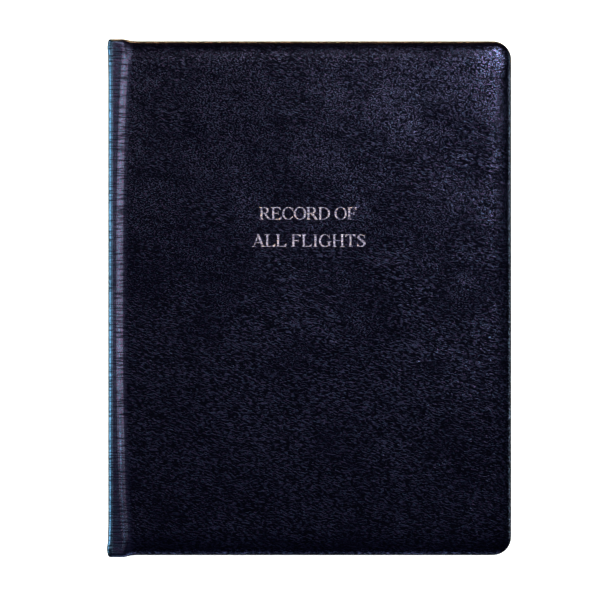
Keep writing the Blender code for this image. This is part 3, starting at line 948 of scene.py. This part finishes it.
def endpaper_material():
    n = Nodes("endpaper")
    page = n.attribute("page")
    laid = n.node(
        "ShaderNodeTexWave",
        Vector=page,
        Scale=0.42,
        Distortion=1.5,
        Detail=2.0,
        settings={"bands_direction": "Y"},
    )
    fibre = n.noise(n.stretch(page, (0.5, 2.0, 1.0)), 2.2, 4.0, 0.65)
    mottle = n.noise(page, 0.12, 3.0, 0.6)
    colour = n.blend(mottle, (0.018, 0.026, 0.060), (0.034, 0.046, 0.090))
    colour = n.blend(n.ramp(fibre, 0.52, 0.72, 0.0, 0.45), colour, (0.085, 0.105, 0.16))
    colour = n.blend(n.math("MULTIPLY", laid, 0.18), colour, (0.012, 0.018, 0.045))
    return n.finish(colour, 0.72, n.bump(n.math("ADD", laid, fibre), 0.03 * MM, 0.5), Specular_IOR_Level=0.35)


def object_coords(n):
    """Object coordinates in mm: a CAD node's mesh is in place at rest, so they are book coordinates."""
    coords = n.node("ShaderNodeTexCoord", out=3)
    return n.stretch(coords, (1000.0, 1000.0, 1000.0))


def board_material():
    n = Nodes("greyboard")
    p = object_coords(n)
    fleck = n.noise(p, 2.4, 4.0, 0.7)
    layers = n.noise(n.stretch(p, (0.1, 0.1, 3.0)), 1.0, 3.0)
    colour = n.blend(n.ramp(fleck, 0.35, 0.65), (0.20, 0.185, 0.165), (0.36, 0.34, 0.31))
    colour = n.blend(n.ramp(layers, 0.4, 0.6, 0.0, 0.4), colour, (0.27, 0.24, 0.20))
    return n.finish(colour, 0.92, n.bump(fleck, 0.08 * MM, 0.6))


def card_material():
    n = Nodes("manila_card")
    p = object_coords(n)
    fibre = n.noise(n.stretch(p, (1.0, 0.25, 1.0)), 1.6, 4.0, 0.65)
    tone = n.noise(p, 0.06, 2.0)
    colour = n.blend(fibre, (0.40, 0.31, 0.20), (0.58, 0.48, 0.34))
    colour = n.blend(n.math("MULTIPLY", tone, 0.4), colour, (0.46, 0.40, 0.30))
    return n.finish(colour, 0.86, n.bump(fibre, 0.05 * MM, 0.5))


def foam_material():
    n = Nodes("padding_foam")
    p = object_coords(n)
    pores = n.node("ShaderNodeTexVoronoi", Vector=p, Scale=1.4)
    tone = n.noise(p, 0.08, 2.0)
    # Painted shade: the pits at the pores' middles are coloured dark grey.
    colour = n.blend(n.ramp(pores, 0.1, 0.6), (0.16, 0.16, 0.17), (0.44, 0.44, 0.45))
    colour = n.blend(n.math("MULTIPLY", tone, 0.3), colour, (0.50, 0.47, 0.40))
    return n.finish(colour, 0.96, n.bump(pores, 0.3 * MM, 0.8))


def linen_material():
    """Open plain weave for the spine cloth and the sewing tapes."""
    n = Nodes("linen_weave")
    p = object_coords(n)
    warp = n.node("ShaderNodeTexWave", Vector=p, Scale=0.55, Distortion=0.6, Detail=2.0, settings={"bands_direction": "Y"})
    weft = n.node("ShaderNodeTexWave", Vector=p, Scale=0.55, Distortion=0.6, Detail=2.0, settings={"bands_direction": "Z"})
    cross = n.node("ShaderNodeTexWave", Vector=p, Scale=0.55, Distortion=0.6, Detail=2.0, settings={"bands_direction": "X"})
    weave = n.math("MULTIPLY", n.math("MAXIMUM", warp, weft), n.math("ADD", n.math("MULTIPLY", cross, 0.4), 0.6))
    fuzz = n.noise(p, 3.0, 3.0, 0.6)
    # Painted shade: the gaps between the threads are coloured dark brown.
    colour = n.blend(weave, (0.34, 0.29, 0.21), (0.70, 0.65, 0.54))
    colour = n.blend(n.ramp(fuzz, 0.5, 0.75, 0.0, 0.4), colour, (0.80, 0.77, 0.69))
    return n.finish(colour, 0.94, n.bump(weave, 0.12 * MM, 0.8))


def thread_material():
    """Waxed linen thread, its two plies showing as slanted lines."""
    n = Nodes("waxed_thread")
    p = object_coords(n)
    ply = n.node(
        "ShaderNodeTexWave", Vector=n.stretch(p, (1.0, 1.0, 1.0)), Scale=1.1, Distortion=0.4, settings={"bands_direction": "DIAGONAL"}
    )
    # Painted shade: the grooves between the plies are coloured darker.
    colour = n.blend(ply, (0.42, 0.36, 0.25), (0.80, 0.75, 0.62))
    return n.finish(colour, n.ramp(ply, 0.0, 1.0, 0.70, 0.48), n.bump(ply, 0.08 * MM, 0.8))


def band_material():
    """Head and tail bands: silk wound in stripes of navy and cream, one ridge a turn."""
    n = Nodes("band_silk")
    wound = n.attribute("wound")
    turn, ridge = n.separate(wound, "X"), n.separate(wound, "Y")
    strands = n.noise(n.stretch(wound, (6.0, 1.0, 0.6)), 3.0, 2.0, 0.6)
    navy = n.blend(strands, (0.012, 0.016, 0.050), (0.035, 0.045, 0.11))
    cream = n.blend(strands, (0.58, 0.54, 0.44), (0.84, 0.80, 0.70))
    stripe = n.ramp(n.math("FRACT", n.math("MULTIPLY", turn, 0.25)), 0.49, 0.51)
    colour = n.blend(stripe, navy, cream)
    # Painted shade: the grooves between the wound turns are coloured near black.
    colour = n.blend(n.ramp(ridge, 0.35, 0.0), colour, (0.02, 0.02, 0.03))
    return n.finish(colour, 0.38, n.bump(strands, 0.05 * MM, 0.7), Sheen_Weight=0.3)


# ---------------------------------------------------------------- pieces
def make_foam(side, material):
    """The foam pad under the leather: flat on the board, with the simulated dome on its outside."""
    inset, under = 1.25, 1.05
    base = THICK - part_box("front_board")[1].z / MM
    a = np.concatenate([edge_spacing(20, SLOPE, 7, 4)])
    xs = np.concatenate([[4.9, 5.2, 5.7, 6.4, 7.3, 8.6, 11], spaced(16, FORE - inset - 24, 6), FORE - inset - a[::-1]])
    ys = np.concatenate([-EDGE_Y + inset + a, spaced(24 - EDGE_Y, EDGE_Y - 24, 6), EDGE_Y - inset - a[::-1]])
    x, y = np.meshgrid(xs, ys)
    x, y = rounded_corner(x, y, FORE, EDGE_Y, CORNER)
    shift = groove_shift(np.minimum(x, 7.9), y) * (1 - smooth(8, 26, x))
    top = top_height(x + shift, y, np.maximum(x, 4.3), side)[0] - under
    x = x + shift
    top = np.maximum(top, THICK - base + 0.15)
    rows, cols = x.shape
    count = rows * cols
    verts = np.concatenate([np.stack([x, y, top], -1).reshape(-1, 3), np.stack([x, y, 0 * x + THICK - base + 0.1], -1).reshape(-1, 3)])
    faces = grid_faces(rows, cols) + grid_faces(rows, cols, count, flip=True)
    rim = [(0, c) for c in range(cols)] + [(r, cols - 1) for r in range(1, rows)]
    rim += [(rows - 1, c) for c in range(cols - 2, -1, -1)] + [(r, 0) for r in range(rows - 2, 0, -1)]
    ids = [r * cols + c for r, c in rim]
    for a, b in zip(ids, ids[1:] + ids[:1]):
        faces.append((b, a, a + count, b + count))
    if side == "back":
        faces = [f[::-1] for f in faces]
    obj = new_object(f"{side}_foam_pad", world(verts, side), faces, material)
    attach(obj, f"{side}_cover")
    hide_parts(f"{side}_padding")


def make_sheets(side, endpaper, gilt):
    """The endpaper: a sheet pasted down inside the board and a free flyleaf, both coming out of the joint."""
    low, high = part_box("front_pastedown")
    z0, z1 = low.z / MM, high.z / MM
    columns = np.concatenate([[0, 0.4, 0.8, 1.2, 1.6, 2.0, 2.5, 3.0, 4.0, 6.0], spaced(12, 999, 14)])
    start = FOLD_X + 0.1
    pasted = paper_block(
        f"{side}_pastedown_sheet",
        start,
        high.x / MM - LEFT,
        high.y / MM,
        z0,
        z1,
        (endpaper, endpaper),
        columns,
        corner=CORNER - (FORE - (high.x / MM - LEFT)),
    )
    low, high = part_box("front_flyleaf")
    loose = paper_block(
        f"{side}_flyleaf_sheet",
        start,
        high.x / MM - LEFT,
        high.y / MM,
        low.z / MM,
        high.z / MM,
        (endpaper, gilt),
        LEAF_COLUMNS,
    )
    for obj, node, reach in ((pasted, "pastedown", 3.2), (loose, "flyleaf", PAGE_BEND)):
        mirror(obj, side)
        point(start)
        point(start + reach)
        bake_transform(obj)
        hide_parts(f"{side}_{node}")


def mirror(obj, side):
    """Turns a piece built for the front into the back's mirror image."""
    if side == "front":
        return
    co = np.zeros(len(obj.data.vertices) * 3)
    obj.data.vertices.foreach_get("co", co)
    co = co.reshape(-1, 3)
    co[:, 2] = THICK * MM - co[:, 2]
    obj.data.vertices.foreach_set("co", co.ravel())
    obj.data.flip_normals()
    obj.data.update()


def point(x):
    return tuple(world(np.array([x, 0, MIDDLE])))


PAGE_BEND = 9.0
LEAF_BEND = 62.0


def make_sections(paper, gilt):
    for number in (1, 2, 3, 4, 5, 7, 8, 9, 10, 11):
        node = f"section_{number:02d}"
        low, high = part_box(node)
        extra = 0.035
        obj = paper_block(
            f"leaves_{number:02d}",
            FOLD_X,
            PAGE_FORE,
            PAGE_Y,
            low.z / MM - extra,
            high.z / MM + extra,
            (paper, gilt),
            LEAF_COLUMNS,
            fold=0.5,
            seed=0.7 * number,
            slant=0.05,
        )
        point(FOLD_X)
        point(FOLD_X + PAGE_BEND)
        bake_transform(obj)
        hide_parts(node)


def make_leaves(paper, gilt):
    """The leaves of the middle section."""
    for number in range(1, 9):
        node = f"centre_leaf_{number}"
        low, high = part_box(node)
        fold = low.x / MM - LEFT
        obj = paper_block(
            f"ruled_leaf_{number}",
            fold,
            PAGE_FORE,
            PAGE_Y,
            low.z / MM,
            high.z / MM,
            (paper, gilt),
            LEAF_COLUMNS,
            seed=1.3 * number,
        )
        point(fold)
        point(fold + LEAF_BEND)
        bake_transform(obj)
        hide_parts(node)


def make_band(name, end, material):
    """A head or tail band: a core wound with silk, one ridge for each turn."""
    low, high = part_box(name)
    centre = ((low + high) / 2) / MM
    z0, z1 = low.z / MM, high.z / MM
    radius = (high.y - low.y) / 2 / MM * 0.94
    turns = 26
    steps, around = turns * 6, 14
    verts, wound, faces = [], [], []
    for i in range(steps + 1):
        share = i / steps
        for k in range(around):
            angle = 2 * math.pi * k / around
            turn = share * turns + 0.5 * k / around
            ridge = abs(math.sin(math.pi * turn))
            r = radius * (0.90 + 0.12 * ridge)
            verts.append((centre.x - LEFT + r * math.cos(angle), centre.y + r * math.sin(angle), z0 + (z1 - z0) * share))
            wound.append((turn, ridge, angle))
    for i in range(steps):
        for k in range(around):
            a, b = i * around + k, i * around + (k + 1) % around
            faces.append((a, b, b + around, a + around))
    faces.append(tuple(range(around))[::-1])
    faces.append(tuple(steps * around + k for k in range(around)))
    obj = new_object(f"{name}_silk", world(np.array(verts)), faces, material)
    set_attribute(obj, "wound", np.array(wound))
    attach(obj, "spine")
    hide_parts(name)


def cover_cad(material, *nodes):
    for node in nodes:
        mesh = frame["nodes"][node].data
        mesh.materials.clear()
        mesh.materials.append(material)


leather = leather_material()
foil = foil_material()
paper, gilt, endpaper = paper_material(), gilt_material(), endpaper_material()
board, card, foam, linen, thread = board_material(), card_material(), foam_material(), linen_material(), thread_material()

for side in SIDES:
    skin = leather_half(side, leather)
    point(2.2)
    point(4.6)
    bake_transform(skin)
    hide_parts(f"{side}_leather", *(["spine_leather"] if side == "front" else []))
    make_foam(side, foam)
    make_sheets(side, endpaper, gilt)
foil_line("title_line_1", "RECORD OF", -0.6 - LEFT, 38.8, -0.055, foil)
foil_line("title_line_2", "ALL FLIGHTS", -0.2 - LEFT, 25.4, -0.012, foil)
make_sections(paper, gilt)
make_leaves(paper, gilt)
silk = band_material()
make_band("headband", 1, silk)
make_band("tailband", -1, silk)
cover_cad(board, "front_board", "back_board")
cover_cad(card, "front_infill_card", "back_infill_card", "spine_inlay", "spine_lining")
cover_cad(linen, "front_mull_flap", "back_mull_flap", "mull")
cover_cad(linen, "sewing_tape_head", "sewing_tape_middle", "sewing_tape_tail")
cover_cad(thread, "sewing_thread", "kettle_stitch_head", "kettle_stitch_tail")


# ---------------------------------------------------------------- stage
FLOOR_GLOW = 0.90  # the floor's own brightness to the camera, so that it is near white
FLOOR_DROP = 0.0003
FLOOR_SIDE = 4.0
CAMERA_HEIGHT = 1.6
CAMERA_X, CAMERA_Y = -0.0046, -0.0009
FRAME_WIDTH = 0.2968  # width of the picture at the height of the cover's edge
FRAME_LEVEL = 0.0215
SENSOR = 36.0
WORLD_DARK, WORLD_LIGHT = (0.004, 0.005, 0.008), (0.017, 0.020, 0.030)  # radiance towards the tail and the head
BACKDROP = (0.97, 0.97, 0.97)

# name: direction (x, y, z), distance, size, radiance, colour
LIGHTS = {
    "key": ((0.355, 0.365, 1.0), 1.3, (0.22, 0.20), 42.0, (1.0, 1.0, 1.0)),
    "head_high": ((-0.05, 0.37, 1.0), 1.3, (0.70, 0.14), 5.0, (1.0, 0.91, 0.78)),
    "right_high": ((0.44, -0.02, 1.0), 1.3, (0.12, 0.50), 0.6, (1.0, 1.0, 1.0)),
    "crown": ((0.07, 0.07, 1.0), 1.3, (0.16, 0.24), 1.5, (1.0, 1.0, 1.0)),
    "fill": ((0.14, 0.10, 1.0), 0.62, (0.76, 0.76), 0.145, (0.77, 0.82, 1.0)),
    "left_high": ((-0.66, 0.10, 1.0), 1.4, (0.50, 0.9), 2.8, (1.0, 0.89, 0.74)),
    "left_low": ((-1.0, 0.05, 0.36), 1.0, (0.9, 0.60), 9.0, (0.75, 1.0, 0.95)),
    "right_low": ((1.0, 0.1, 0.30), 1.0, (0.8, 0.5), 5.8, (0.78, 1.0, 0.80)),
    "head_low": ((0.0, 1.0, 0.10), 1.0, (1.0, 0.18), 36.0, (1.0, 0.58, 0.16)),
    "tail_low": ((0.0, -1.0, 0.45), 1.0, (1.0, 0.4), 1.8, (0.67, 0.80, 1.0)),
}


def make_floor():
    """A pale floor. Reflections see it darker than the camera does, as with black flags round the table."""
    n = Nodes("pale_floor")
    tone = n.noise(object_coords(n), 0.004, 2.0)
    seen = n.node("ShaderNodeLightPath")
    pale = n.blend(tone, (0.90, 0.90, 0.90), (0.93, 0.93, 0.93))
    material = n.finish(n.blend(seen, (0.10, 0.10, 0.12), pale), 0.9, Specular_IOR_Level=0.0)
    n.put(n.shader.inputs["Emission Color"], (1.0, 1.0, 1.0))
    n.put(n.shader.inputs["Emission Strength"], n.math("MULTIPLY", seen, FLOOR_GLOW))
    reach = FLOOR_SIDE / 2
    corners = [(-reach, -reach, 0), (reach, -reach, 0), (reach, reach, 0), (-reach, reach, 0)]
    floor = new_object("floor", corners, [(0, 1, 2, 3)], material)
    floor.location.z = -FLOOR_DROP


def area_light(name, direction, distance, size, radiance, colour):
    """A soft box that faces the book; its power follows from its size and radiance."""
    light = bpy.data.lights.new(name, "AREA")
    light.shape = "RECTANGLE"
    light.size, light.size_y = size
    light.energy = radiance * size[0] * size[1] * math.pi
    light.color = colour
    obj = bpy.data.objects.new(name, light)
    aim = Vector(direction).normalized()
    obj.location = aim * distance
    obj.rotation_euler = aim.to_track_quat("Z", "Y").to_euler()
    obj.visible_camera = False
    bpy.context.scene.collection.objects.link(obj)


def make_camera():
    data = bpy.data.cameras.new("camera")
    data.sensor_width = SENSOR
    data.lens = SENSOR * (CAMERA_HEIGHT - FRAME_LEVEL) / FRAME_WIDTH
    obj = bpy.data.objects.new("camera", data)
    obj.location = (CAMERA_X, CAMERA_Y, CAMERA_HEIGHT)
    bpy.context.scene.collection.objects.link(obj)
    bpy.context.scene.camera = obj


def make_world():
    """A dim room, lighter towards the head of the book; the camera sees it as a pale backdrop."""
    scene_world = bpy.data.worlds.new("studio")
    scene_world.use_nodes = True
    tree = scene_world.node_tree
    add, link = tree.nodes.new, tree.links.new
    kinds = ("TexCoord", "SeparateXYZ", "MapRange", "Mix", "LightPath", "Mix")
    where, split, ramp, mixed, path, shown = (add(f"ShaderNode{kind}") for kind in kinds)
    link(where.outputs["Generated"], split.inputs[0])
    link(split.outputs["Y"], ramp.inputs["Value"])
    ramp.interpolation_type = "SMOOTHSTEP"
    ramp.inputs["From Min"].default_value, ramp.inputs["From Max"].default_value = -0.40, 0.20
    mixed.data_type = "RGBA"
    link(ramp.outputs[0], mixed.inputs[0])
    mixed.inputs[6].default_value, mixed.inputs[7].default_value = (*WORLD_DARK, 1), (*WORLD_LIGHT, 1)
    shown.data_type = "RGBA"
    link(path.outputs["Is Camera Ray"], shown.inputs[0])
    link(mixed.outputs[2], shown.inputs[6])
    shown.inputs[7].default_value = (*BACKDROP, 1)
    link(shown.outputs[2], tree.nodes["Background"].inputs["Color"])
    bpy.context.scene.world = scene_world


make_floor()
make_camera()
make_world()
for name, (direction, distance, size, radiance, colour) in LIGHTS.items():
    area_light(name, direction, distance, size, radiance, colour)
bpy.context.scene.view_settings.view_transform = "Standard"
bpy.context.scene.view_settings.look = "None"
